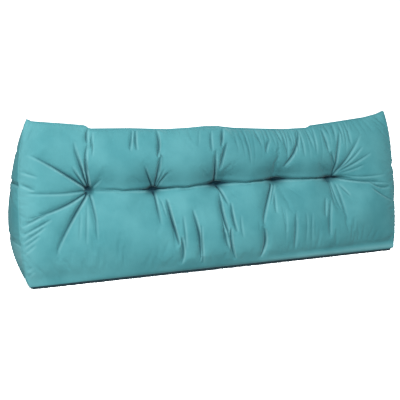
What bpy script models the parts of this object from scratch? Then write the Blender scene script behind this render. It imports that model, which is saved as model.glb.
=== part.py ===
"""Headboard wedge cushion: one filled, three-cornered cushion with a row of five stitched tufts.

Metres, +Z up. X runs along the cushion, the tufted front faces -Y, and the cushion stands on its base at Z = 0.
The shell starts as a cube whose six sides become the panels: front, back, base, two ends and the top fold.
"""

import math
from collections import namedtuple

import bmesh
import bpy
import numpy as np

# Driving sizes of the sewn shell
LENGTH = 1.38
BASE_DEPTH = 0.21
APEX_Y = 0.005
TOP_FOLD = 0.012

# The two ends: how far the top corner is drawn in, the seam bows out and the panel bulges
End = namedtuple("End", "ear_inset seam_bow bulge")
LEFT_END = End(0.026, 0.020, 0.038)
RIGHT_END = End(0.012, 0.012, 0.036)
END_SHARPNESS = 1.05

# How far the filling pushes each face out between its seams
LOWER_CROWN = 0.056
UPPER_CROWN = 0.040
SIDE_CROWN = 0.054
BACK_CROWN = 0.036
CROWN_RISE = 0.58

# The base touches the floor all over but for a rolled rim along its seam
RIM_LIFT = 0.008
RIM_WIDTH = 0.014

# Height of the top seam: it stands up to an ear at each end and sags between them
TopPoint = namedtuple("TopPoint", "x height")
TOP_SEAM = (
    TopPoint(-0.690, 0.543),
    TopPoint(-0.672, 0.534),
    TopPoint(-0.550, 0.523),
    TopPoint(-0.470, 0.511),
    TopPoint(-0.448, 0.503),
    TopPoint(-0.200, 0.499),
    TopPoint(0.000, 0.495),
    TopPoint(0.150, 0.489),
    TopPoint(0.348, 0.484),
    TopPoint(0.362, 0.491),
    TopPoint(0.490, 0.504),
    TopPoint(0.600, 0.516),
    TopPoint(0.655, 0.527),
    TopPoint(0.690, 0.540),
)

# Where the thread is pulled through, and how deep it draws the front in
Tuft = namedtuple("Tuft", "x height depth")
TUFTS = (
    Tuft(-0.480, 0.299, 0.052),
    Tuft(-0.258, 0.291, 0.050),
    Tuft(-0.027, 0.298, 0.056),
    Tuft(0.206, 0.299, 0.056),
    Tuft(0.428, 0.294, 0.050),
)
TUFT_REACH_X = 0.058
TUFT_REACH_Z = 0.040
BACK_TUFT_SHARE = 0.45
CREASE_DEPTH = 0.008
CREASE_FADE = 0.110

# Folds that run out from a tuft, counted from the left. The angle is seen from the front, 0 to the right
# and 90 up, the start is the distance from the tuft, and the bend is the whole turn along the fold.
TuftFold = namedtuple("TuftFold", "tuft angle bend start length depth width")
TUFT_FOLDS = (
    TuftFold(0, 140, 18, 0.010, 0.230, 0.011, 0.010),
    TuftFold(0, 133, 12, 0.030, 0.130, 0.006, 0.008),
    TuftFold(0, 105, 0, 0.010, 0.155, 0.010, 0.009),
    TuftFold(0, 122, 0, 0.010, 0.085, 0.007, 0.008),
    TuftFold(0, 99, -22, 0.010, 0.190, 0.014, 0.010),
    TuftFold(0, -164, 6, 0.010, 0.210, 0.009, 0.009),
    TuftFold(0, -142, 24, 0.010, 0.220, 0.013, 0.010),
    TuftFold(0, -82, 0, 0.010, 0.180, 0.008, 0.011),
    TuftFold(0, 178, 0, 0.020, 0.180, 0.004, 0.008),
    TuftFold(1, 78, 10, 0.010, 0.190, 0.010, 0.010),
    TuftFold(1, 114, 0, 0.010, 0.080, 0.006, 0.008),
    TuftFold(1, 56, 0, 0.010, 0.080, 0.006, 0.008),
    TuftFold(1, -95, 20, 0.010, 0.130, 0.007, 0.010),
    TuftFold(2, 100, -8, 0.010, 0.110, 0.009, 0.010),
    TuftFold(2, 76, 0, 0.010, 0.110, 0.007, 0.009),
    TuftFold(2, -72, 0, 0.010, 0.140, 0.007, 0.010),
    TuftFold(2, -90, 12, 0.020, 0.250, 0.009, 0.011),
    TuftFold(3, -124, 28, 0.010, 0.270, 0.010, 0.011),
    TuftFold(4, 79, 6, 0.030, 0.150, 0.008, 0.009),
    TuftFold(4, 98, 8, 0.030, 0.140, 0.007, 0.009),
    TuftFold(4, 62, -12, 0.030, 0.160, 0.008, 0.009),
    TuftFold(4, 42, -14, 0.020, 0.140, 0.007, 0.009),
    TuftFold(4, 12, -10, 0.020, 0.150, 0.005, 0.009),
    TuftFold(4, -94, 24, 0.010, 0.150, 0.007, 0.010),
    TuftFold(4, -108, 14, 0.020, 0.160, 0.006, 0.010),
)

# Folds that start in the open face
FreeFold = namedtuple("FreeFold", "x height angle bend length depth width")
FREE_FOLDS = (
    FreeFold(-0.222, 0.262, -77, -10, 0.230, 0.012, 0.011),
    FreeFold(-0.120, 0.212, -82, -8, 0.190, 0.007, 0.011),
    FreeFold(-0.020, 0.405, 83, 0, 0.080, 0.007, 0.009),
    FreeFold(0.214, 0.332, 26, 58, 0.140, 0.009, 0.009),
    FreeFold(0.160, 0.470, -70, 0, 0.075, 0.006, 0.009),
    FreeFold(0.256, 0.165, -93, 0, 0.115, 0.008, 0.010),
)
FOLD_PIECES = 10
RIDGE_PLACE = 1.9
RIDGE_SHARE = 0.30
BOTTOM_MARGIN = 0.030
TOP_MARGIN = 0.015
END_MARGIN = 0.030

# Steps of the cage before it is thinned, and the share of its faces that is kept
STEPS = (172, 20, 66)
KEPT_SHARE = 0.165


def clear_scene():
    for old in list(bpy.data.objects):
        bpy.data.objects.remove(old, do_unlink=True)


def velvet():
    material = bpy.data.materials.new("teal_velvet")
    material.use_nodes = True
    shader = material.node_tree.nodes["Principled BSDF"]
    shader.inputs["Base Color"].default_value = (0.105, 0.360, 0.400, 1.0)
    shader.inputs["Roughness"].default_value = 0.85
    shader.inputs["Metallic"].default_value = 0.0
    return material


def cage():
    """A cube from -1 to 1, cut into even steps along each of its three directions."""
    cube = bmesh.new()
    bmesh.ops.create_cube(cube, size=2.0)
    for axis, steps in enumerate(STEPS):
        along = [e for e in cube.edges if abs(e.verts[0].co[axis] - e.verts[1].co[axis]) > 1e-6]
        bmesh.ops.subdivide_edges(cube, edges=along, cuts=steps - 1, use_grid_fill=True)
    return cube


def arch(share, power):
    """0 at both ends of 0..1 and 1 halfway, steeper at the ends for a smaller power."""
    return np.sin(np.pi * np.clip(share, 0.0, 1.0)) ** power


def smooth(share):
    share = np.clip(share, 0.0, 1.0)
    return share * share * (3.0 - 2.0 * share)


def top_height(x):
    return np.interp(x, [point.x for point in TOP_SEAM], [point.height for point in TOP_SEAM])


def tuft_row_height(x):
    return np.interp(x, [tuft.x for tuft in TUFTS], [tuft.height for tuft in TUFTS])


def tufted_share(x):
    """1 along the row of tufts, fading out beyond the outer two."""
    left = smooth((x - TUFTS[0].x) / CREASE_FADE + 1.0)
    right = smooth((TUFTS[-1].x - x) / CREASE_FADE + 1.0)
    return left * right


def dimples(x, z):
    """The pull of the tufts, deepest at each thread."""
    pull = np.zeros_like(x)
    for tuft in TUFTS:
        away = np.hypot((x - tuft.x) / TUFT_REACH_X, (z - tuft.height) / TUFT_REACH_Z)
        pull = np.maximum(pull, tuft.depth * np.exp(-away))
    return pull


def fold_depth(x, z, start, fold):
    """A trough along an arc, with a low ridge on its upper-right side, thinning out to its end."""
    step = fold.length / FOLD_PIECES
    here_x, here_z = start
    heading = math.radians(fold.angle)
    nearest = np.full_like(x, np.inf)
    side = np.zeros_like(x)
    share = np.zeros_like(x)
    for piece in range(FOLD_PIECES):
        ahead_x = math.cos(heading)
        ahead_z = math.sin(heading)
        off_x = x - here_x
        off_z = z - here_z
        along = np.clip(off_x * ahead_x + off_z * ahead_z, 0.0, step)
        gap = np.hypot(off_x - along * ahead_x, off_z - along * ahead_z)
        closer = gap < nearest
        nearest = np.where(closer, gap, nearest)
        side = np.where(closer, off_z * ahead_x - off_x * ahead_z, side)
        share = np.where(closer, (piece + along / step) / FOLD_PIECES, share)
        here_x += ahead_x * step
        here_z += ahead_z * step
        heading += math.radians(fold.bend) / FOLD_PIECES
    upper_right = 1.0 if math.cos(math.radians(fold.angle)) > 0.0 else -1.0
    trough = np.exp(-((nearest / fold.width) ** 2))
    ridge = np.exp(-((nearest / fold.width - RIDGE_PLACE) ** 2)) * (side * upper_right > 0.0)
    return fold.depth * (1.0 - share) ** 0.6 * (trough - RIDGE_SHARE * ridge)


def folds(x, z):
    total = np.zeros_like(x)
    for fold in TUFT_FOLDS:
        tuft = TUFTS[fold.tuft]
        heading = math.radians(fold.angle)
        start = (tuft.x + fold.start * math.cos(heading), tuft.height + fold.start * math.sin(heading))
        total += fold_depth(x, z, start, fold)
    for fold in FREE_FOLDS:
        total += fold_depth(x, z, (fold.x, fold.height), fold)
    return total


def along_crown(x):
    """The crown falls away to the two end seams."""
    return arch(x / LENGTH + 0.5, CROWN_RISE)


def front_swell(x, z, height):
    """How far the front stands out from the plane of its seams: two lobes, the crease between them and folds."""
    share_up = z / height
    waist = tuft_row_height(x) / height
    lower = LOWER_CROWN * arch(share_up / waist, 0.62)
    upper = UPPER_CROWN * arch((share_up - waist) / (1.0 - waist), 0.62)
    lobes = np.where(share_up < waist, lower, upper) - CREASE_DEPTH * arch(share_up, 8.0)
    single = SIDE_CROWN * arch(share_up, 0.70)
    tufted = tufted_share(x)
    inside = smooth(z / BOTTOM_MARGIN) * smooth((height - z) / TOP_MARGIN)
    inside *= smooth((LENGTH / 2 - np.abs(x)) / END_MARGIN)
    crown = along_crown(x) * (tufted * lobes + (1.0 - tufted) * single)
    return crown - dimples(x, z) - folds(x, z) * inside


def back_swell(x, z, height):
    return along_crown(x) * BACK_CROWN * arch(z / height, 0.60) - BACK_TUFT_SHARE * dimples(x, z)


def shape(cube):
    """Moves the cube's points, which run from -1 to 1, to the filled shell."""
    run, back, up = cube[:, 0], cube[:, 1], (cube[:, 2] + 1.0) / 2.0
    on_front = np.isclose(back, -1.0)
    on_back = np.isclose(back, 1.0)
    on_end = np.isclose(np.abs(run), 1.0)
    on_base = np.isclose(up, 0.0)

    flat_x = run * LENGTH / 2
    height = top_height(flat_x)
    half_depth = BASE_DEPTH / 2 * (1.0 - up) + TOP_FOLD / 2 * up
    y = APEX_Y * up + back * half_depth
    z = height * up
    y -= np.where(on_front, front_swell(flat_x, z, height), 0.0)
    y += np.where(on_back, back_swell(flat_x, z, height), 0.0)

    ear_inset, seam_bow, bulge = (np.where(run < 0.0, *pair) for pair in zip(LEFT_END, RIGHT_END))
    bow = seam_bow * (1.0 - np.abs(2.0 * up - 1.0) ** 4) - ear_inset * up**3
    puff = bulge * (1.0 - back**2) ** END_SHARPNESS * arch(up**0.74, 1.5)
    x = flat_x + bow * run**3 + np.where(on_end, np.sign(run) * puff, 0.0)

    to_seam = np.minimum(BASE_DEPTH / 2 * (1.0 - np.abs(back)), LENGTH / 2 * (1.0 - np.abs(run)))
    rim = RIM_LIFT * np.clip(1.0 - to_seam / RIM_WIDTH, 0.0, 1.0) ** 2
    z += np.where(on_base, rim, RIM_LIFT * (1.0 - up) ** 12)

    x -= (x.min() + x.max()) / 2
    y -= (y.min() + y.max()) / 2
    return np.column_stack((x, y, z))


def build_cushion(collection):
    mesh = bpy.data.meshes.new("cushion")
    cube = cage()
    cube.to_mesh(mesh)
    cube.free()
    points = np.empty(len(mesh.vertices) * 3)
    mesh.vertices.foreach_get("co", points)
    mesh.vertices.foreach_set("co", shape(points.reshape(-1, 3)).ravel())
    mesh.materials.append(velvet())
    mesh.shade_smooth()
    mesh.update()
    cushion = bpy.data.objects.new("cushion", mesh)
    collection.objects.link(cushion)
    thinning = cushion.modifiers.new("keep_the_folds", "DECIMATE")
    thinning.ratio = KEPT_SHARE


def main():
    clear_scene()
    collection = bpy.data.collections.new("headboard_wedge_cushion")
    bpy.context.scene.collection.children.link(collection)
    build_cushion(collection)


main()
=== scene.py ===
import math
from collections import namedtuple

import bmesh
import bpy
import numpy as np
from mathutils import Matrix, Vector


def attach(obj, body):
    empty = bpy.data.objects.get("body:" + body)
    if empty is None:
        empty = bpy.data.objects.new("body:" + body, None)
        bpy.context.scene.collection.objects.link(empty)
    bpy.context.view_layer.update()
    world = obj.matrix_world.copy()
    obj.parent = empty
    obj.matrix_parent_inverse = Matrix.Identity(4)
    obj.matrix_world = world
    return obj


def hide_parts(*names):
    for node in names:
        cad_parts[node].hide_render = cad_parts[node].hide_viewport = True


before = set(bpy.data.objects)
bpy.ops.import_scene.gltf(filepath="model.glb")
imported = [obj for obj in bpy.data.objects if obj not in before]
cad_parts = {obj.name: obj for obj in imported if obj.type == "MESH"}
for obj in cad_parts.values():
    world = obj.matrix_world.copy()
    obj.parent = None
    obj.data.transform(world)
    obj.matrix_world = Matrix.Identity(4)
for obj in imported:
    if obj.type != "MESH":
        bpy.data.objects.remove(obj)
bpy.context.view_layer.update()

# The cover before it is filled: a front, a back, a base and two end panels of short-pile velvet, cut flat
# and sewn inside out with plain seams. A cube's sides become the panels, and every point keeps its place
# on its panel: run along the cushion, back from front to back, and up from the base to the top seam.
LENGTH = 1.38
BASE_DEPTH = 0.21
APEX_Y = 0.005
TOP_FOLD = 0.012
TOP_ROLL = 0.003
CAGE_STEPS = (160, 24, 60)

End = namedtuple("End", "ear_inset seam_bow seam_forward bulge")
LEFT_END = End(0.026, 0.020, 0.018, 0.038)
RIGHT_END = End(0.012, 0.012, 0.010, 0.036)
END_SHARPNESS = 1.05
END_ROUNDNESS = 1.5
END_FULL_LOW = 0.74
SEAM_BOW_FLATNESS = 4
EAR_SHARPNESS = 3
BOW_FADE = 3
FORWARD_FADE = 6

LOWER_CROWN = 0.056
UPPER_CROWN = 0.044
LOBE_ROUNDNESS = 0.62
SIDE_CROWN = 0.054
SIDE_ROUNDNESS = 0.70
BACK_CROWN = 0.036
BACK_ROUNDNESS = 0.60
CROWN_RISE = 0.80

RIM_LIFT = 0.012
RIM_WIDTH = 0.014
RIM_FADE = 12

TopPoint = namedtuple("TopPoint", "x height")
TOP_SEAM = (
    TopPoint(-0.690, 0.543),
    TopPoint(-0.672, 0.534),
    TopPoint(-0.550, 0.523),
    TopPoint(-0.486, 0.516),
    TopPoint(-0.472, 0.505),
    TopPoint(-0.330, 0.502),
    TopPoint(-0.200, 0.495),
    TopPoint(-0.120, 0.497),
    TopPoint(-0.060, 0.501),
    TopPoint(-0.010, 0.500),
    TopPoint(0.050, 0.492),
    TopPoint(0.150, 0.486),
    TopPoint(0.250, 0.481),
    TopPoint(0.348, 0.483),
    TopPoint(0.362, 0.491),
    TopPoint(0.490, 0.504),
    TopPoint(0.600, 0.516),
    TopPoint(0.655, 0.527),
    TopPoint(0.690, 0.540),
)

Tuft = namedtuple("Tuft", "x height depth knot pit")
TUFTS = (
    Tuft(-0.470, 0.302, 0.032, 0.003, 0.012),
    Tuft(-0.254, 0.292, 0.040, 0.006, 0.024),
    Tuft(-0.023, 0.298, 0.043, 0.009, 0.034),
    Tuft(0.214, 0.300, 0.043, 0.009, 0.040),
    Tuft(0.434, 0.294, 0.040, 0.008, 0.030),
)
TUFT_REACH_X = 0.054
TUFT_REACH_Z = 0.032
BACK_TUFT_SHARE = 0.45
CREASE_DEPTH = 0.013
CREASE_SHARPNESS = 8.0
CREASE_FADE = 0.110

SIDE_NEAR = 1e-6
SEAM_NEAR = 1e-4


def arch(share, power):
    """0 at both ends of 0..1 and 1 halfway, steeper at the ends for a smaller power."""
    return np.sin(np.pi * np.clip(share, 0.0, 1.0)) ** power


def smooth(share):
    share = np.clip(share, 0.0, 1.0)
    return share * share * (3.0 - 2.0 * share)


def top_height(x):
    return np.interp(x, [point.x for point in TOP_SEAM], [point.height for point in TOP_SEAM])


def tuft_row_height(x):
    return np.interp(x, [tuft.x for tuft in TUFTS], [tuft.height for tuft in TUFTS])


def tufted_share(x):
    """1 along the row of tufts, fading out beyond the outer two."""
    left = smooth((x - TUFTS[0].x) / CREASE_FADE + 1.0)
    right = smooth((TUFTS[-1].x - x) / CREASE_FADE + 1.0)
    return left * right


def dimples(x, z):
    """The pull of the tufts, deepest at each thread."""
    pull = np.zeros_like(x)
    for tuft in TUFTS:
        away = np.hypot((x - tuft.x) / TUFT_REACH_X, (z - tuft.height) / TUFT_REACH_Z)
        pull = np.maximum(pull, tuft.depth * np.exp(-away))
    return pull


def along_crown(x):
    """The crown falls away to the two end seams."""
    return arch(x / LENGTH + 0.5, CROWN_RISE)


def front_swell(x, z, height, fill):
    """How far the front stands out from its seams: two lobes and the crease between them."""
    share_up = z / height
    waist = tuft_row_height(x) / height
    lower = LOWER_CROWN * arch(share_up / waist, LOBE_ROUNDNESS)
    upper = UPPER_CROWN * arch((share_up - waist) / (1.0 - waist), LOBE_ROUNDNESS)
    lobes = np.where(share_up < waist, lower, upper) - CREASE_DEPTH * arch(share_up, CREASE_SHARPNESS)
    single = SIDE_CROWN * arch(share_up, SIDE_ROUNDNESS)
    tufted = tufted_share(x)
    crown = along_crown(x) * (tufted * lobes + (1.0 - tufted) * single)
    return fill * crown - dimples(x, z)


def back_swell(x, z, height, fill):
    """How far the back stands out, with a shallow dimple behind each tuft."""
    crown = fill * along_crown(x) * BACK_CROWN * arch(z / height, BACK_ROUNDNESS)
    return crown - BACK_TUFT_SHARE * dimples(x, z)


def sewn_shape(place, fill):
    """Points of the cube, from -1 to 1, moved to the shell, which is filled to a share of its crown."""
    run, back, up = place[:, 0], place[:, 1], (place[:, 2] + 1.0) / 2.0
    flat_x = run * LENGTH / 2
    height = top_height(flat_x)
    half_depth = BASE_DEPTH / 2 * (1.0 - up) + TOP_FOLD / 2 * up
    y = APEX_Y * up + back * half_depth
    z = height * up
    y -= np.where(np.isclose(back, -1.0), front_swell(flat_x, z, height, fill), 0.0)
    y += np.where(np.isclose(back, 1.0), back_swell(flat_x, z, height, fill), 0.0)
    z += np.where(np.isclose(up, 1.0), TOP_ROLL * (1.0 - back**2), 0.0)

    ends = (np.where(run < 0.0, left, right) for left, right in zip(LEFT_END, RIGHT_END))
    ear_inset, seam_bow, seam_forward, bulge = ends
    between_corners = 1.0 - np.abs(2.0 * up - 1.0) ** SEAM_BOW_FLATNESS
    bow = seam_bow * between_corners - ear_inset * up**EAR_SHARPNESS
    y -= seam_forward * between_corners * (1.0 - back) / 2.0 * run**FORWARD_FADE
    puff = fill * bulge * (1.0 - back**2) ** END_SHARPNESS * arch(up**END_FULL_LOW, END_ROUNDNESS)
    x = flat_x + bow * run**BOW_FADE + np.where(np.isclose(np.abs(run), 1.0), np.sign(run) * puff, 0.0)

    to_seam = np.minimum(BASE_DEPTH / 2 * (1.0 - np.abs(back)), LENGTH / 2 * (1.0 - np.abs(run)))
    rim = RIM_LIFT * np.clip(1.0 - to_seam / RIM_WIDTH, 0.0, 1.0) ** 2
    z += np.where(np.isclose(up, 0.0), rim, RIM_LIFT * (1.0 - up) ** RIM_FADE)
    return np.column_stack((x, y, z))


def read_points(mesh):
    points = np.empty(len(mesh.vertices) * 3)
    mesh.vertices.foreach_get("co", points)
    return points.reshape(-1, 3)


def put_points(mesh, points):
    mesh.vertices.foreach_set("co", points.ravel())
    mesh.update()


def read_places(mesh):
    """Each point's place on its panel, as it was on the cube."""
    places = np.empty(len(mesh.vertices) * 3, np.float32)
    mesh.attributes["place"].data.foreach_get("vector", places)
    return places.reshape(-1, 3).astype(float)


Spots = namedtuple("Spots", "run back_share front back base top ends seam x z")


def find_spots(place):
    """For each place on the cube: its panel, whether it is on a seam, and its flat place on the front."""
    up = (place[:, 2] + 1.0) / 2.0
    flat_x = place[:, 0] * LENGTH / 2
    return Spots(
        run=place[:, 0],
        back_share=(place[:, 1] + 1.0) / 2.0,
        front=np.isclose(place[:, 1], -1.0),
        back=np.isclose(place[:, 1], 1.0),
        base=np.isclose(up, 0.0),
        top=np.isclose(up, 1.0),
        ends=np.isclose(np.abs(place[:, 0]), 1.0),
        seam=np.isclose(np.abs(place), 1.0, atol=SEAM_NEAR).sum(axis=1) >= 2,
        x=flat_x,
        z=top_height(flat_x) * up,
    )


def cut_cover():
    """A cube cut into a grid, whose points remember their places."""
    cube = bmesh.new()
    bmesh.ops.create_cube(cube, size=2.0)
    for axis, steps in enumerate(CAGE_STEPS):
        along = [e for e in cube.edges if abs(e.verts[0].co[axis] - e.verts[1].co[axis]) > SIDE_NEAR]
        bmesh.ops.subdivide_edges(cube, edges=along, cuts=steps - 1, use_grid_fill=True)
    place = cube.verts.layers.float_vector.new("place")
    for vert in cube.verts:
        vert[place] = vert.co
    mesh = bpy.data.meshes.new("wedge_cushion")
    cube.to_mesh(mesh)
    cube.free()
    cover = bpy.data.objects.new("wedge_cushion", mesh)
    bpy.context.scene.collection.objects.link(cover)
    return cover


cushion = cut_cover()
places = read_places(cushion.data)
full_shape = sewn_shape(places, 1.0)
middle = (full_shape.min(axis=0) + full_shape.max(axis=0)) / 2.0
centring = np.array((middle[0], middle[1], 0.0))

# The folds that the tufts and seams pull into the velvet, each from its first point to its last, seen from
# the front. The bow is how far its middle lies to the left of the straight way between them. Those that
# start at a tuft are deepest there, and the others fade at both ends.
Fold = namedtuple("Fold", "x height to_x to_height bow depth width")
FOLDS = (
    Fold(-0.475, 0.305, -0.670, 0.435, -0.010, 0.011, 0.008),
    Fold(-0.480, 0.302, -0.684, 0.313, 0.000, 0.005, 0.006),
    Fold(-0.480, 0.298, -0.675, 0.230, 0.005, 0.009, 0.008),
    Fold(-0.478, 0.296, -0.592, 0.108, -0.009, 0.012, 0.009),
    Fold(-0.471, 0.288, -0.464, 0.147, 0.005, 0.006, 0.009),
    Fold(-0.472, 0.310, -0.480, 0.468, 0.008, 0.013, 0.008),
    Fold(-0.482, 0.460, -0.478, 0.508, 0.003, 0.007, 0.006),
    Fold(-0.474, 0.308, -0.530, 0.468, 0.000, 0.011, 0.008),
    Fold(-0.477, 0.306, -0.532, 0.390, 0.002, 0.008, 0.008),
    Fold(-0.462, 0.312, -0.432, 0.343, 0.000, 0.004, 0.007),
    Fold(-0.464, 0.420, -0.466, 0.495, 0.000, 0.004, 0.006),
    Fold(-0.486, 0.260, -0.499, 0.140, 0.000, 0.003, 0.008),
    Fold(-0.508, 0.240, -0.519, 0.155, 0.000, 0.002, 0.008),
    Fold(-0.252, 0.302, -0.233, 0.428, 0.000, 0.009, 0.008),
    Fold(-0.247, 0.408, -0.240, 0.496, -0.007, 0.008, 0.007),
    Fold(-0.258, 0.300, -0.295, 0.381, 0.003, 0.008, 0.007),
    Fold(-0.248, 0.304, -0.222, 0.370, 0.001, 0.005, 0.006),
    Fold(-0.244, 0.302, -0.205, 0.354, 0.000, 0.005, 0.006),
    Fold(-0.253, 0.284, -0.253, 0.180, 0.000, 0.008, 0.008),
    Fold(-0.241, 0.264, -0.230, 0.205, 0.002, 0.003, 0.006),
    Fold(-0.217, 0.255, -0.196, 0.112, 0.000, 0.011, 0.008),
    Fold(-0.185, 0.140, -0.186, 0.040, 0.007, 0.007, 0.008),
    Fold(-0.134, 0.214, -0.119, 0.042, 0.009, 0.009, 0.008),
    Fold(-0.111, 0.168, -0.106, 0.030, -0.003, 0.005, 0.007),
    Fold(-0.172, 0.202, -0.171, 0.095, 0.000, 0.004, 0.008),
    Fold(-0.326, 0.502, -0.342, 0.430, 0.000, 0.005, 0.006),
    Fold(-0.311, 0.502, -0.318, 0.430, -0.004, 0.006, 0.006),
    Fold(-0.087, 0.492, -0.102, 0.433, -0.002, 0.002, 0.006),
    Fold(-0.046, 0.485, -0.054, 0.415, -0.004, 0.005, 0.006),
    Fold(-0.030, 0.310, -0.040, 0.424, 0.004, 0.009, 0.007),
    Fold(-0.020, 0.355, 0.006, 0.443, 0.003, 0.007, 0.007),
    Fold(-0.015, 0.434, 0.002, 0.493, 0.000, 0.007, 0.006),
    Fold(-0.018, 0.290, 0.002, 0.222, 0.001, 0.007, 0.007),
    Fold(-0.023, 0.265, -0.011, 0.130, -0.005, 0.009, 0.008),
    Fold(0.010, 0.232, 0.020, 0.140, -0.003, 0.007, 0.007),
    Fold(-0.028, 0.190, -0.012, 0.078, -0.005, 0.007, 0.008),
    Fold(-0.003, 0.154, 0.015, 0.038, -0.006, 0.008, 0.008),
    Fold(0.037, 0.190, 0.041, 0.118, -0.003, 0.003, 0.007),
    Fold(0.192, 0.286, 0.116, 0.145, -0.008, 0.009, 0.008),
    Fold(0.124, 0.140, 0.111, 0.032, 0.011, 0.009, 0.008),
    Fold(0.202, 0.285, 0.162, 0.217, -0.003, 0.004, 0.006),
    Fold(0.190, 0.258, 0.177, 0.190, -0.002, 0.004, 0.006),
    Fold(0.233, 0.352, 0.304, 0.483, -0.010, 0.008, 0.007),
    Fold(0.152, 0.405, 0.174, 0.452, 0.003, 0.005, 0.006),
    Fold(0.442, 0.306, 0.468, 0.478, 0.002, 0.007, 0.008),
    Fold(0.448, 0.335, 0.424, 0.395, 0.001, 0.005, 0.007),
    Fold(0.413, 0.396, 0.394, 0.478, -0.001, 0.005, 0.007),
    Fold(0.444, 0.308, 0.552, 0.458, -0.004, 0.006, 0.008),
    Fold(0.460, 0.325, 0.550, 0.408, -0.003, 0.004, 0.007),
    Fold(0.460, 0.318, 0.582, 0.384, -0.001, 0.004, 0.007),
    Fold(0.475, 0.316, 0.553, 0.342, -0.002, 0.003, 0.006),
    Fold(0.450, 0.296, 0.665, 0.270, -0.002, 0.006, 0.007),
    Fold(0.487, 0.305, 0.640, 0.305, -0.006, 0.003, 0.006),
    Fold(0.575, 0.277, 0.663, 0.255, -0.010, 0.004, 0.006),
    Fold(0.579, 0.255, 0.673, 0.200, -0.004, 0.004, 0.006),
    Fold(0.432, 0.283, 0.418, 0.198, -0.001, 0.004, 0.007),
    Fold(0.436, 0.284, 0.445, 0.180, -0.006, 0.004, 0.007),
    Fold(0.451, 0.270, 0.465, 0.145, -0.001, 0.004, 0.007),
    Fold(0.384, 0.224, 0.371, 0.162, 0.000, 0.004, 0.007),
    Fold(0.404, 0.216, 0.390, 0.093, -0.005, 0.004, 0.008),
    Fold(0.464, 0.268, 0.492, 0.230, 0.000, 0.004, 0.007),
    Fold(0.250, 0.182, 0.245, 0.055, 0.002, 0.004, 0.008),
    Fold(0.315, 0.178, 0.314, 0.078, -0.003, 0.002, 0.008),
    Fold(0.291, 0.180, 0.289, 0.080, 0.002, 0.002, 0.008),
    Fold(0.213, 0.200, 0.205, 0.094, 0.000, 0.002, 0.008),
)

Pucker = namedtuple("Pucker", "height length rise depth")
LEFT_PUCKERS = (
    Pucker(0.382, 0.055, -21, 0.0035),
    Pucker(0.341, 0.047, -24, 0.0045),
    Pucker(0.213, 0.080, 24, 0.0055),
    Pucker(0.184, 0.098, 28, 0.0055),
    Pucker(0.162, 0.080, 34, 0.0050),
    Pucker(0.144, 0.062, 36, 0.0040),
    Pucker(0.124, 0.048, 39, 0.0030),
    Pucker(0.065, 0.034, 40, 0.0015),
    Pucker(0.044, 0.033, 43, 0.0015),
)
PUCKER_START = 0.683
PUCKER_WIDTH = 0.006

GATHERS_FROM = 0.035
GATHERS_TO = 0.520
GATHER_GAP = 0.015
GATHER_UNEVEN = 0.4
GATHER_LENGTHS = (0.040, 0.140)
GATHER_DEPTHS = (0.0010, 0.0035)
GATHER_WIDTH = 0.0050
GATHER_LEAN = 0.012
GATHER_SEED = 5

EndFold = namedtuple("EndFold", "height to_height depth width")
LEFT_END_FOLDS = (
    EndFold(0.340, 0.352, 0.006, 0.007),
    EndFold(0.150, 0.185, 0.004, 0.012),
)
RIGHT_END_FOLDS = (
    EndFold(0.330, 0.335, 0.004, 0.008),
    EndFold(0.200, 0.190, 0.003, 0.012),
)
END_FADE = 0.5

FOLD_PIECES = 10
FOLD_REACH = 4.0
FOLD_TIP = 0.04
FOLD_ROUNDNESS = 0.5
TUFT_FOLD_FADE = 2.5
PAST_END = 0.004
RIDGE_PLACE = 1.8
RIDGE_SHARE = 0.45
DEEP_FOLD = 0.010
TUFT_NEAR = 0.030
BOTTOM_MARGIN = 0.020
TOP_MARGIN = 0.005
END_MARGIN = 0.012


def pucker_folds():
    """Short puckers where the front is sewn to the left end panel."""
    for pucker in LEFT_PUCKERS:
        rise = math.radians(pucker.rise)
        to_x = pucker.length * math.cos(rise) - PUCKER_START
        to_height = pucker.height + pucker.length * math.sin(rise)
        yield Fold(-PUCKER_START, pucker.height, to_x, to_height, 0.0, pucker.depth, PUCKER_WIDTH)


def gather_folds():
    """Fine gathers that hang from the top seam, unevenly spaced."""
    chance = np.random.default_rng(GATHER_SEED)
    for x in np.arange(GATHERS_FROM, GATHERS_TO, GATHER_GAP):
        x += GATHER_GAP * chance.uniform(-GATHER_UNEVEN, GATHER_UNEVEN)
        lean = chance.uniform(-GATHER_LEAN, GATHER_LEAN)
        foot = top_height(x) - chance.uniform(*GATHER_LENGTHS)
        yield Fold(x, top_height(x), x + lean, foot, 0.0, chance.uniform(*GATHER_DEPTHS), GATHER_WIDTH)


ALL_FOLDS = (*FOLDS, *pucker_folds(), *gather_folds())


def bell(offset, width):
    """1 where the offset is 0, falling away on both sides over the width."""
    return np.exp(-((offset / width) ** 2))


def near_fold(x, z, fold, reach):
    low_z, high_z = sorted((fold.height, fold.to_height))
    near_x = (x > min(fold.x, fold.to_x) - reach) & (x < max(fold.x, fold.to_x) + reach)
    return near_x & (z > low_z - reach) & (z < high_z + reach)


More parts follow.
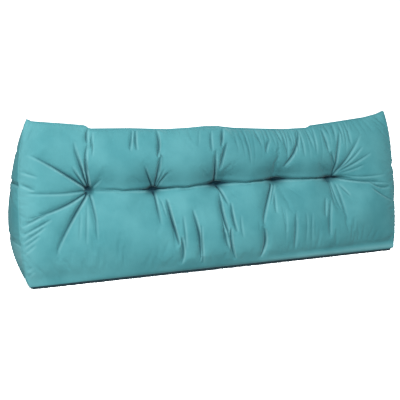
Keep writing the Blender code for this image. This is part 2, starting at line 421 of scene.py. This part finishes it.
def along_fold(x, z, fold):
    """Distance across the fold's line, positive on its lower right side, and the fold's strength.

    The line is a run of short straight pieces, and its bow is full halfway along.
    """
    run_x = fold.to_x - fold.x
    run_z = fold.to_height - fold.height
    length = math.hypot(run_x, run_z)
    share_here = np.linspace(0.0, 1.0, FOLD_PIECES + 1)
    bow = 4.0 * fold.bow * share_here * (1.0 - share_here)
    line_x = fold.x + run_x * share_here - bow * run_z / length
    line_z = fold.height + run_z * share_here + bow * run_x / length
    nearest = np.full_like(x, np.inf)
    across = np.zeros_like(x)
    share = np.zeros_like(x)
    for piece in range(FOLD_PIECES):
        ahead_x = line_x[piece + 1] - line_x[piece]
        ahead_z = line_z[piece + 1] - line_z[piece]
        step = math.hypot(ahead_x, ahead_z)
        off_x = x - line_x[piece]
        off_z = z - line_z[piece]
        along = np.clip((off_x * ahead_x + off_z * ahead_z) / step**2, 0.0, 1.0)
        gap = np.hypot(off_x - along * ahead_x, off_z - along * ahead_z)
        closer = gap < nearest
        nearest = np.where(closer, gap, nearest)
        across = np.where(closer, (off_z * ahead_x - off_x * ahead_z) / step, across)
        share = np.where(closer, (piece + along) / FOLD_PIECES, share)
    at_tuft = min(math.hypot(fold.x - tuft.x, fold.height - tuft.height) for tuft in TUFTS) < TUFT_NEAR
    if at_tuft:
        strength = 1.0 - share**TUFT_FOLD_FADE
    else:
        strength = arch(FOLD_TIP + (1.0 - FOLD_TIP) * share, FOLD_ROUNDNESS)
    strength *= np.exp(-(nearest**2 - across**2) / PAST_END**2)
    return (-across if run_x + run_z > 0.0 else across), strength


def folds(x, z, widen):
    """Depth of the folds with their width taken times a share, and how strongly they hold each point."""
    trough = np.zeros_like(x)
    ridge = np.zeros_like(x)
    hold = np.zeros_like(x)
    for fold in ALL_FOLDS:
        width = fold.width * widen
        near = near_fold(x, z, fold, FOLD_REACH * width + abs(fold.bow))
        across, strength = along_fold(x[near], z[near], fold)
        pressed = strength * bell(across, width)
        raised = strength * np.exp(-((across / width - RIDGE_PLACE) ** 2))
        trough[near] = np.maximum(trough[near], fold.depth * pressed)
        ridge[near] = np.maximum(ridge[near], fold.depth * raised)
        hold[near] = np.maximum(hold[near], min(1.0, fold.depth / DEEP_FOLD) * pressed)
    return trough - RIDGE_SHARE * ridge, hold


def end_lines(spots):
    """For each crease that runs back across an end panel: its height there, and which points it can reach."""
    for side, creases in ((-1.0, LEFT_END_FOLDS), (1.0, RIGHT_END_FOLDS)):
        on_end = np.isclose(spots.run, side)
        for crease in creases:
            yield crease, crease.height + (crease.to_height - crease.height) * spots.back_share, on_end


def end_folds(spots):
    """Depth of the creases on the two end panels."""
    depth = np.zeros_like(spots.z)
    for crease, line_height, on_end in end_lines(spots):
        pressed = crease.depth * (1.0 - END_FADE * spots.back_share)
        pressed *= bell(spots.z - line_height, crease.width)
        depth = np.maximum(depth, np.where(on_end, pressed, 0.0))
    return depth


def inside_seams(x, z):
    """0 at the front panel's seams and 1 further in."""
    inside = smooth(z / BOTTOM_MARGIN) * smooth((top_height(x) - z) / TOP_MARGIN)
    return inside * smooth((LENGTH / 2 - np.abs(x)) / END_MARGIN)


# The filling: loose fibre presses the cover out between its seams and tufts, which hold it in. The velvet is
# a little larger than its space, so it buckles into folds as it fills. It is filled twice, the second time
# with a finer cloth on the front and the ends, for their small folds.
Filling = namedtuple("Filling", "pressure slack bend frames reach hold folds widen")
FIRST_FILLING = Filling(12.0, 0.018, 0.2, 20, 0.030, 0.40, 0.35, 1.7)
SECOND_FILLING = Filling(8.0, 0.012, 0.1, 12, 0.012, 0.55, 0.35, 1.0)
START_FILL = 0.85
HOLD_FREE = 0.045
KNOT_REACH_Z = 0.004
KNOT_SLIP = 0.1
HEM_HOLD = 0.9
HEM_HEIGHT = 0.060
HEM_PASSES = 8
TUFT_EVEN = 0.055
TUFT_PASSES = 3
SPLIT_PASSES = 1
EASING = 0.5
LOOSE_FRONT = 1.0
LOOSE_BACK = 0.3
LOOSE_ENDS = 0.35
LOOSE_BASE = 0.0
STRETCH_STIFFNESS = 15.0
SHEAR_STIFFNESS = 5.0
NO_MOVE = 1e-9


def weigh(cover, name, weights):
    group = cover.vertex_groups.new(name=name)
    rounded = np.round(weights, 2)
    for weight in np.unique(rounded[rounded > 0.0]):
        group.add(np.flatnonzero(rounded == weight).tolist(), float(weight), "REPLACE")


def seeded_folds(mesh, filling):
    """Depth of the folds on the front and the end panels, for the filling to work on."""
    spots = find_spots(read_places(mesh))
    on_front = folds(spots.x, spots.z, filling.widen)[0] * inside_seams(spots.x, spots.z)
    return filling.folds * np.where(spots.front, on_front, end_folds(spots))


def fill_cover(cover, filling):
    """Presses the cover out with Blender's cloth, and keeps each point within the filling's reach."""
    mesh = cover.data
    before = read_points(mesh)
    spots = find_spots(read_places(mesh))
    x, z = spots.x, spots.z
    along_folds = filling.hold * folds(x, z, filling.widen)[1] * inside_seams(x, z)
    held = np.where(spots.front, along_folds, 0.0)
    for tuft in TUFTS:
        held *= smooth(np.hypot(x - tuft.x, z - tuft.height) / HOLD_FREE)
    held = np.maximum(held, spots.front * HEM_HOLD * smooth(1.0 - z / HEM_HEIGHT))
    held[spots.seam | spots.base | spots.top] = 1.0
    for tuft in TUFTS:
        away = np.hypot((x - tuft.x) / tuft.knot, (z - tuft.height) / KNOT_REACH_Z)
        held[(away < max(1.0, away.min() + KNOT_SLIP)) & (spots.front | spots.back)] = 1.0
    panels = (spots.front, spots.back, spots.base)
    loose = np.select(panels, (LOOSE_FRONT, LOOSE_BACK, LOOSE_BASE), LOOSE_ENDS)
    weigh(cover, "held", held)
    weigh(cover, "taut", 1.0 - loose)

    modifier = cover.modifiers.new("filling", "CLOTH")
    cloth = modifier.settings
    cloth.tension_stiffness = STRETCH_STIFFNESS
    cloth.compression_stiffness = STRETCH_STIFFNESS
    cloth.shear_stiffness = SHEAR_STIFFNESS
    cloth.bending_stiffness = filling.bend
    cloth.vertex_group_mass = "held"
    cloth.vertex_group_shrink = "taut"
    cloth.shrink_min = -filling.slack
    cloth.shrink_max = 0.0
    cloth.use_pressure = True
    cloth.uniform_pressure_force = filling.pressure
    cloth.effector_weights.gravity = 0.0
    modifier.point_cache.frame_start = 1
    modifier.point_cache.frame_end = filling.frames
    scene = bpy.context.scene
    for moment in range(1, filling.frames + 1):
        scene.frame_set(moment)
    filled = cover.evaluated_get(bpy.context.evaluated_depsgraph_get())
    moved = read_points(filled.data) - before
    cover.modifiers.remove(modifier)
    cover.vertex_groups.clear()
    scene.frame_set(1)
    distance = np.linalg.norm(moved, axis=1)
    kept = np.minimum(1.0, filling.reach / np.maximum(distance, NO_MOVE))
    put_points(mesh, before + moved * kept[:, None])


def ease(shell, verts, passes):
    """Evens out the surface at these points."""
    for _ in range(passes):
        bmesh.ops.smooth_vert(
            shell, verts=verts, factor=EASING, use_axis_x=True, use_axis_y=True, use_axis_z=True
        )


def split_panels(mesh, wanted):
    """Halves the edges where both their points are wanted, and evens out the new points."""
    shell = bmesh.new()
    shell.from_mesh(mesh)
    shell.verts.ensure_lookup_table()
    halved = [e for e in shell.edges if wanted[e.verts[0].index] and wanted[e.verts[1].index]]
    made = bmesh.ops.subdivide_edges(shell, edges=halved, cuts=1, use_grid_fill=True)
    place = shell.verts.layers.float_vector["place"]
    new = {part for part in made["geom"] if isinstance(part, bmesh.types.BMVert)}
    inner = [v for v in new if sum(abs(abs(along) - 1.0) < SEAM_NEAR for along in v[place]) < 2]
    ease(shell, inner, SPLIT_PASSES)
    shell.to_mesh(mesh)
    shell.free()
    mesh.update()


def even_ripples(mesh):
    """Evens out the small ripples that the cloth makes along the front's hem and round the tufts."""
    spots = find_spots(read_places(mesh))
    near_knots = np.zeros(len(spots.x), bool)
    for tuft in TUFTS:
        near_knots |= np.hypot(spots.x - tuft.x, spots.z - tuft.height) < TUFT_EVEN
    shell = bmesh.new()
    shell.from_mesh(mesh)
    shell.verts.ensure_lookup_table()
    for wanted, passes in ((spots.z < HEM_HEIGHT, HEM_PASSES), (near_knots, TUFT_PASSES)):
        chosen = np.flatnonzero(spots.front & wanted & ~spots.seam)
        ease(shell, [shell.verts[number] for number in chosen], passes)
    shell.to_mesh(mesh)
    shell.free()
    mesh.update()


def sink(mesh, depth):
    """Moves the surface in along its normals."""
    normals = np.empty(len(mesh.vertices) * 3)
    mesh.vertex_normals.foreach_get("vector", normals)
    put_points(mesh, read_points(mesh) - normals.reshape(-1, 3) * depth[:, None])


cover = cushion.data
put_points(cover, sewn_shape(places, START_FILL) - centring)
sink(cover, seeded_folds(cover, FIRST_FILLING))
fill_cover(cushion, FIRST_FILLING)
spots = find_spots(read_places(cover))
split_panels(cover, spots.front | spots.ends)
sink(cover, seeded_folds(cover, SECOND_FILLING))
fill_cover(cushion, SECOND_FILLING)
even_ripples(cover)

# Pressed creases, where the velvet folds back on itself: the folds, the row between the tufts, the pits that
# the threads draw, and the lip that hangs over the row. The mesh takes their broad shape, and keeps for each
# spot how far across its crease it lies, for the velvet's painted dark line of shade and painted crest
# highlight.
SPLIT_HOLD = 0.10
CREASE_SHARE = 0.30
CREASE_WIDEN = 0.62
ROW_CREASE = 0.005
ROW_WIDTH = 0.0060
ROW_START = 0.25
ROW_BETWEEN = 0.45
ROW_AT_TUFT = 0.050
PIT_DEPTH = 0.008
PIT_REACH_Z = 0.0125
FULL_PIT = 0.014
LIP_OUT = 0.003
LIP_DOWN = 0.004
LIP_ABOVE = 0.012
LIP_WIDTH = 0.009
LIP_AT_TUFT = 0.3
Band = namedtuple("Band", "height depth width")
HEM_VALLEY = Band(0.037, 0.002, 0.012)
HEM_SKIRT = Band(0.014, 0.002, 0.010)
FLARE_FROM = 0.020
FLARE_FULL = 0.330
END_CREASE_SHARE = 0.3
SEAM_SINK = 0.0015
# Strengths of the painted dark line and crest highlight at the row of tufts and at the end creases.
ROW_MARK = 0.85
END_MARK = 0.7
# Painted shade: along the folds, the row and the pits, under the upper lobe, and over the middle of the top
# half.
HOLD_SHADE = 0.18
ROW_SHADE_AT_TUFT = 0.60
PIT_SHADE = 1.15
LOBE_SHADE = 0.30
LOBE_SHADE_UP = 0.025
LOBE_SHADE_WIDTH = 0.045
TOP_SHADE = 0.15
TOP_SHADE_X = 0.040
TOP_SHADE_HEIGHT = 0.420
TOP_SHADE_REACH_X = 0.260
TOP_SHADE_REACH_Z = 0.070
# Painted light on the hem's skirt and beside the left seam, painted shade on the end panels, painted light
# low on the left end panel, and painted shadow on the base.
SKIRT_PAINTED_LIGHT = 0.9
SEAM_PAINTED_LIGHT = 0.35
SEAM_PAINTED_LIGHT_WIDTH = 0.045
END_SHADE = 0.11
END_PAINTED_LIGHT = 0.85
END_PAINTED_LIGHT_HEIGHT = 0.115
END_PAINTED_LIGHT_WIDTH = 0.035
BASE_PAINTED_SHADOW = 1.4
SHOWN_PLACE = 0.003
SHOWN_WIDTH = 0.006
LEAST_SHOWN = 0.02
FOLD_SIDES = 0.026
FAR_ACROSS = 0.1


def near_tuft(x):
    return np.minimum(1.0, sum(bell(x - tuft.x, ROW_AT_TUFT) for tuft in TUFTS))


def row_strength(x):
    """The crease through the tufts, faint near the first one and fainter halfway between them."""
    from_first = smooth((x - TUFTS[0].x) / (TUFTS[1].x - TUFTS[0].x) + ROW_START)
    return tufted_share(x) * from_first * (ROW_BETWEEN + (1.0 - ROW_BETWEEN) * near_tuft(x))


def tuft_pits(x, z):
    """The pits at the threads, small at the tufts that are drawn in less."""
    pits = np.zeros_like(x)
    for tuft in TUFTS:
        away = ((x - tuft.x) / tuft.pit) ** 2 + ((z - tuft.height) / PIT_REACH_Z) ** 2
        pits = np.maximum(pits, min(1.0, tuft.pit / FULL_PIT) * np.exp(-away))
    return pits


def hem_flare(x):
    """The skirt above the bottom seam stands out further and further towards the right."""
    return smooth((x - FLARE_FROM) / (FLARE_FULL - FLARE_FROM))


def press_creases(spots):
    """How deep each point is pressed in."""
    x, z = spots.x, spots.z
    row = row_strength(x) * bell(z - tuft_row_height(x), ROW_WIDTH)
    depth = CREASE_SHARE * folds(x, z, CREASE_WIDEN)[0] * inside_seams(x, z)
    depth += np.maximum(ROW_CREASE * row, PIT_DEPTH * tuft_pits(x, z))
    depth += hem_flare(x) * HEM_VALLEY.depth * bell(z - HEM_VALLEY.height, HEM_VALLEY.width)
    depth -= hem_flare(x) * bell(z - HEM_SKIRT.height, HEM_SKIRT.width) * HEM_SKIRT.depth
    return np.where(spots.front, depth, END_CREASE_SHARE * end_folds(spots))


def paint_shade_and_light(spots):
    """How much painted shade each point takes; below 0, painted light."""
    x, z = spots.x, spots.z
    row_height = tuft_row_height(x)
    # Painted shade along the fold troughs, along the row of tufts (heavier near each tuft) and in the pits at
    # the threads.
    row = row_strength(x) * bell(z - row_height, ROW_WIDTH)
    row_shade = HOLD_SHADE + ROW_SHADE_AT_TUFT * near_tuft(x)
    along_folds = HOLD_SHADE * folds(x, z, CREASE_WIDEN)[1] * inside_seams(x, z)
    pressed = np.maximum(along_folds, np.maximum(row_shade * row, PIT_SHADE * tuft_pits(x, z)))
    # Painted shade under the upper lobe, just above the row, and painted light on the hem's skirt where it
    # flares out.
    lobe = row_strength(x) * bell(z - row_height - LOBE_SHADE_UP, LOBE_SHADE_WIDTH)
    skirt = hem_flare(x) * bell(z - HEM_SKIRT.height, HEM_SKIRT.width)
    pressed += LOBE_SHADE * lobe * (z > row_height) - SKIRT_PAINTED_LIGHT * skirt
    # Painted light on the front beside the left seam.
    pressed -= SEAM_PAINTED_LIGHT * bell(x + LENGTH / 2, SEAM_PAINTED_LIGHT_WIDTH)
    # Painted shade over the middle of the front's top half.
    top_across = (x - TOP_SHADE_X) / TOP_SHADE_REACH_X
    top_up = (z - TOP_SHADE_HEIGHT) / TOP_SHADE_REACH_Z
    pressed += TOP_SHADE * np.exp(-(top_across**2) - top_up**2)
    # Painted shade on both end panels, and painted light low on the left end panel.
    end_painted_light = (x < 0.0) * END_PAINTED_LIGHT * bell(z - END_PAINTED_LIGHT_HEIGHT, END_PAINTED_LIGHT_WIDTH)
    return np.where(spots.front, pressed, np.where(spots.back, 0.0, END_SHADE - end_painted_light))


def hang_lip(mesh):
    """The upper lobe hangs a little over the crease."""
    spots = find_spots(read_places(mesh))
    above = spots.z - tuft_row_height(spots.x) - LIP_ABOVE
    lip = spots.front * row_strength(spots.x) * bell(above, LIP_WIDTH)
    lip *= 1.0 + LIP_AT_TUFT * near_tuft(spots.x)
    moved = np.column_stack((np.zeros_like(lip), lip * LIP_OUT, lip * LIP_DOWN))
    put_points(mesh, read_points(mesh) - moved)


def shown_lines(spots):
    """For each crease in turn, the row's first: the distance across it, and the strength of its painted line
    of shade and crest highlight.
    """
    x, z = spots.x, spots.z
    yield tuft_row_height(x) - z, np.where(spots.front, ROW_MARK * row_strength(x), 0.0)
    for fold in ALL_FOLDS:
        across = np.full_like(x, FAR_ACROSS)
        strength = np.zeros_like(x)
        near = spots.front & near_fold(x, z, fold, FOLD_SIDES + abs(fold.bow))
        across[near], strength[near] = along_fold(x[near], z[near], fold)
        yield across, min(1.0, fold.depth / DEEP_FOLD) * strength * inside_seams(x, z)
    for crease, line_height, on_end in end_lines(spots):
        strength = END_MARK * crease.depth / DEEP_FOLD * (1.0 - END_FADE * spots.back_share)
        yield line_height - z, np.where(on_end, strength, 0.0)


def mark_velvet(mesh, pressed):
    """Keeps at each corner of a face its painted shade (painted light below 0), and how far across two
    creases it lies.

    They are the two that show most on that face, so that creases which meet run into each other.
    """
    corner_points = np.empty(len(mesh.loops), np.int32)
    mesh.loops.foreach_get("vertex_index", corner_points)
    corner_count = np.empty(len(mesh.polygons), np.int32)
    mesh.polygons.foreach_get("loop_total", corner_count)
    face = np.repeat(np.arange(len(corner_count)), corner_count)
    place = read_places(mesh)[corner_points]
    centre = np.column_stack([np.bincount(face, place[:, axis]) / corner_count for axis in range(3)])

    shown_first = np.full(len(corner_count), LEAST_SHOWN)
    shown_second = shown_first.copy()
    first = np.full(len(corner_count), -1)
    second = first.copy()
    for number, (across, strength) in enumerate(shown_lines(find_spots(centre))):
        shown = strength * bell(across - SHOWN_PLACE, SHOWN_WIDTH)
        leads = shown > shown_first
        follows = ~leads & (shown > shown_second)
        second = np.where(leads, first, np.where(follows, number, second))
        shown_second = np.where(leads, shown_first, np.where(follows, shown, shown_second))
        first = np.where(leads, number, first)
        shown_first = np.where(leads, shown, shown_first)

    # The kept pressed value is painted shade, and painted light below 0; the base takes painted shadow all
    # over, which shows as a dark line under the bottom seam.
    on_base = np.isclose(centre[face, 2], -1.0)
    kept = {"pressed": np.where(on_base, BASE_PAINTED_SHADOW, pressed[corner_points])}
    for rank in ("first", "second"):
        kept[rank + "_across"] = np.full(len(face), FAR_ACROSS)
        kept[rank + "_strength"] = np.zeros(len(face))
    for number, (across, strength) in enumerate(shown_lines(find_spots(place))):
        for rank, chosen in (("first", first), ("second", second)):
            mine = chosen[face] == number
            kept[rank + "_across"][mine] = across[mine]
            kept[rank + "_strength"][mine] = strength[mine]
    for name, values in kept.items():
        mesh.attributes.new(name, "FLOAT", "CORNER").data.foreach_set("value", values.astype(np.float32))


def keep_seams_crisp(mesh):
    seam = find_spots(read_places(mesh)).seam
    for edge in mesh.edges:
        if seam[edge.vertices[0]] and seam[edge.vertices[1]]:
            edge.use_edge_sharp = True


spots = find_spots(read_places(cover))
creased = np.maximum(folds(spots.x, spots.z, 1.0)[1], paint_shade_and_light(spots)) > SPLIT_HOLD
split_panels(cover, spots.front & creased)
spots = find_spots(read_places(cover))
sink(cover, press_creases(spots) + SEAM_SINK * spots.seam)
hang_lip(cover)
mark_velvet(cover, paint_shade_and_light(spots))
cover.shade_smooth()
keep_seams_crisp(cover)

# Teal velvet: short polyester pile in one colour, matt straight on and with a pale sheen from the side.
# Brushing leaves lighter and darker clouds. Each fold gets a dark line of painted shade beside a painted
# highlight on its crest. Painted shade darkens the tufts, the row, the troughs, the ends and the base, and
# painted light brightens the hem's skirt, the left seam and a patch low on the left end.
VELVET = (0.058, 0.254, 0.284, 1.0)
VELVET_BRUSHED = (0.083, 0.309, 0.339, 1.0)
# Colour of painted shade, which the pile's fine random darkening also leans to, and colour of painted light
# and highlights.
VELVET_PAINTED_SHADE_AND_DARK_PILE = (0.001, 0.032, 0.050, 1.0)
VELVET_PAINTED_LIGHT = (0.225, 0.485, 0.515, 1.0)
SHEEN_TINT = (0.62, 0.92, 0.95, 1.0)
CLOUD_SCALE = 9.0
CLOUD_DETAIL = 4.0
CLOUD_LOW = 0.35
CLOUD_HIGH = 0.65
PILE_SCALE = 900.0
PILE_DETAIL = 2.0
PILE_HEIGHT = 0.00015
PILE_SHADE = 0.10
# Shares of painted shade, painted light, the painted dark line and the painted crest highlight.
PAINTED_SHADE_SHARE = 0.80
PAINTED_LIGHT_SHARE = 0.45
LINE_WIDTH = 0.0020
LINE_DEPTH = 0.0016
LINE_SHADE = 0.75
CREST_PLACE = 0.0058
CREST_WIDTH = 0.0036
CREST_HEIGHT = 0.0014
CREST_PAINTED_HIGHLIGHT = 0.75
VELVET_ROUGHNESS = 0.78
BRUSHED_SMOOTHER = 0.10
VELVET_SPECULAR = 0.27
SHEEN_WEIGHT = 0.25
SHEEN_ROUGHNESS = 0.4


class Thread:
    """A value in a material's nodes: arithmetic adds Math nodes, and node() adds any other node."""

    def __init__(self, tree, socket=None):
        self.tree = tree
        self.socket = socket

    def node(self, kind, settings, sockets, output=0):
        made = self.tree.nodes.new(kind)
        for name, value in settings.items():
            setattr(made, name, value)
        for name, value in sockets.items():
            if isinstance(value, Thread):
                self.tree.links.new(value.socket, made.inputs[name])
            else:
                made.inputs[name].default_value = value
        return Thread(self.tree, made.outputs[output])

    def sum_of(self, operation, first, second):
        return self.node("ShaderNodeMath", {"operation": operation}, {0: first, 1: second})

    def __add__(self, other):
        return self.sum_of("ADD", self, other)

    __radd__ = __add__

    def __sub__(self, other):
        return self.sum_of("SUBTRACT", self, other)

    def __rsub__(self, other):
        return self.sum_of("SUBTRACT", other, self)

    def __mul__(self, other):
        return self.sum_of("MULTIPLY", self, other)

    __rmul__ = __mul__

    def __or__(self, other):
        """The larger of the two."""
        return self.sum_of("MAXIMUM", self, other)

    def bell(self):
        """1 where the value is 0, falling away on both sides."""
        return self.node("ShaderNodeMath", {"operation": "EXPONENT"}, {0: self * self * -1.0})

    def kept(self, name):
        """A value that the mesh keeps."""
        return self.node("ShaderNodeAttribute", {"attribute_name": name}, {}, "Fac")

    def blended(self, share, under, over):
        """The colour under it, mixed towards the other colour to a share."""
        return self.node("ShaderNodeMix", {"data_type": "RGBA"}, {0: share, 6: under, 7: over}, 2)


def dye_velvet():
    material = bpy.data.materials.new("teal_velvet")
    material.use_nodes = True
    tree = material.node_tree
    shader = tree.nodes["Principled BSDF"]
    velvet_nodes = Thread(tree)
    spot = velvet_nodes.node("ShaderNodeTexCoord", {}, {}, "Object")
    cloud_sizes = {"Vector": spot, "Scale": CLOUD_SCALE, "Detail": CLOUD_DETAIL}
    clouds = velvet_nodes.node("ShaderNodeTexNoise", {}, cloud_sizes)
    cloud_range = {"Value": clouds, "From Min": CLOUD_LOW, "From Max": CLOUD_HIGH}
    brushed = velvet_nodes.node("ShaderNodeMapRange", {}, cloud_range)
    pile_sizes = {"Vector": spot, "Scale": PILE_SCALE, "Detail": PILE_DETAIL}
    pile = velvet_nodes.node("ShaderNodeTexNoise", {}, pile_sizes)
    # The mesh's pressed value is painted shade, and painted light below 0.
    pressed = velvet_nodes.kept("pressed")
    lines = []
    crests = []
    for rank in ("first", "second"):
        across = velvet_nodes.kept(rank + "_across")
        strength = velvet_nodes.kept(rank + "_strength")
        lines.append(strength * (across * (1.0 / LINE_WIDTH)).bell())
        crests.append(strength * ((across - CREST_PLACE) * (1.0 / CREST_WIDTH)).bell())
    # The dark line along each crease is painted shade and the pale crest beside it a painted highlight; they
    # also shape the bump.
    line = lines[0] | lines[1]
    crest = (crests[0] | crests[1]) * (1.0 - line)
    colour = velvet_nodes.blended(brushed, VELVET, VELVET_BRUSHED)
    # Painted highlight on the crests, and painted light where the pressed value is below 0.
    colour = velvet_nodes.blended(crest * CREST_PAINTED_HIGHLIGHT - pressed * PAINTED_LIGHT_SHARE, colour, VELVET_PAINTED_LIGHT)
    # Painted shade from the pressed value and the crease lines, with the pile's fine random darkening.
    painted_shade_and_dark_pile = pressed * PAINTED_SHADE_SHARE + line * LINE_SHADE + pile * PILE_SHADE
    colour = velvet_nodes.blended(painted_shade_and_dark_pile, colour, VELVET_PAINTED_SHADE_AND_DARK_PILE)
    relief = pile * PILE_HEIGHT + crest * CREST_HEIGHT - line * LINE_DEPTH
    nap = velvet_nodes.node("ShaderNodeBump", {}, {"Height": relief, "Strength": 1.0, "Distance": 1.0}, "Normal")
    tree.links.new(colour.socket, shader.inputs["Base Color"])
    tree.links.new(nap.socket, shader.inputs["Normal"])
    tree.links.new((VELVET_ROUGHNESS - brushed * BRUSHED_SMOOTHER).socket, shader.inputs["Roughness"])
    shader.inputs["Metallic"].default_value = 0.0
    shader.inputs["Specular IOR Level"].default_value = VELVET_SPECULAR
    shader.inputs["Sheen Weight"].default_value = SHEEN_WEIGHT
    shader.inputs["Sheen Roughness"].default_value = SHEEN_ROUGHNESS
    shader.inputs["Sheen Tint"].default_value = SHEEN_TINT
    return material


cover.materials.append(dye_velvet())
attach(cushion, "root")
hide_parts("cushion")

# The studio: a plain white floor and surround, as in a cut-out picture. A small soft light above and before
# the cushion draws its folds, a wide weak one stands low on the left, and a wide one behind. The floor and
# the surround look fully white but pass on only part of that light, which keeps the folds' shade.
FLOOR_SIZE = 60.0
FLOOR_SEEN = 6.0
FLOOR_BOUNCE = 0.40
SURROUND_SEEN = 1.1
SURROUND_LIGHT = 0.30
WHITE = (1.0, 1.0, 1.0, 1.0)
Light = namedtuple("Light", "name place aim size power")
LIGHTS = (
    Light("key_light", (-0.30, -1.60, 1.90), (-0.15, 0.0, 0.25), 0.3, 44.5),
    Light("fill_light", (-1.80, -2.20, 0.50), (-0.20, 0.0, 0.20), 1.0, 34.0),
    Light("back_light", (1.90, 2.30, 1.50), (0.0, 0.0, 0.25), 2.0, 75.0),
)
CAMERA_PLACE = (-0.7411, -2.0019, 0.7048)
CAMERA_YAW = math.radians(18.394)
CAMERA_PITCH = math.radians(12.428)
CAMERA_LENS = 54.0


def seen_or_passed(tree, seen, passed):
    """A brightness that differs between what looks at it and the light that it passes on."""
    path = Thread(tree).node("ShaderNodeLightPath", {}, {}, "Is Camera Ray")
    return path * (seen - passed) + passed


scene = bpy.context.scene
floor_shell = bmesh.new()
bmesh.ops.create_grid(floor_shell, x_segments=1, y_segments=1, size=FLOOR_SIZE / 2)
floor_mesh = bpy.data.meshes.new("floor")
floor_shell.to_mesh(floor_mesh)
floor_shell.free()
floor = bpy.data.objects.new("floor", floor_mesh)
scene.collection.objects.link(floor)
paint = bpy.data.materials.new("white_floor")
paint.use_nodes = True
brightness = seen_or_passed(paint.node_tree, FLOOR_SEEN, FLOOR_BOUNCE)
matt = brightness.node("ShaderNodeBsdfDiffuse", {}, {"Color": brightness}, "BSDF")
paint.node_tree.links.new(matt.socket, paint.node_tree.nodes["Material Output"].inputs["Surface"])
floor_mesh.materials.append(paint)

for light in LIGHTS:
    lamp = bpy.data.objects.new(light.name, bpy.data.lights.new(light.name, "AREA"))
    lamp.data.energy = light.power
    lamp.data.size = light.size
    lamp.location = light.place
    towards = Vector(light.aim) - Vector(light.place)
    lamp.rotation_euler = towards.to_track_quat("-Z", "Y").to_euler()
    scene.collection.objects.link(lamp)

surround = bpy.data.worlds.new("surround")
surround.use_nodes = True
air = surround.node_tree
glow = air.nodes["Background"]
glow.inputs["Color"].default_value = WHITE
brightness = seen_or_passed(air, SURROUND_SEEN, SURROUND_LIGHT)
air.links.new(brightness.socket, glow.inputs["Strength"])
scene.world = surround
scene.view_settings.view_transform = "Standard"

camera = bpy.data.objects.new("camera", bpy.data.cameras.new("camera"))
camera.data.lens = CAMERA_LENS
camera.location = CAMERA_PLACE
ahead_x = math.sin(CAMERA_YAW) * math.cos(CAMERA_PITCH)
ahead_y = math.cos(CAMERA_YAW) * math.cos(CAMERA_PITCH)
ahead = Vector((ahead_x, ahead_y, -math.sin(CAMERA_PITCH)))
camera.rotation_euler = ahead.to_track_quat("-Z", "Y").to_euler()
scene.collection.objects.link(camera)
scene.camera = camera
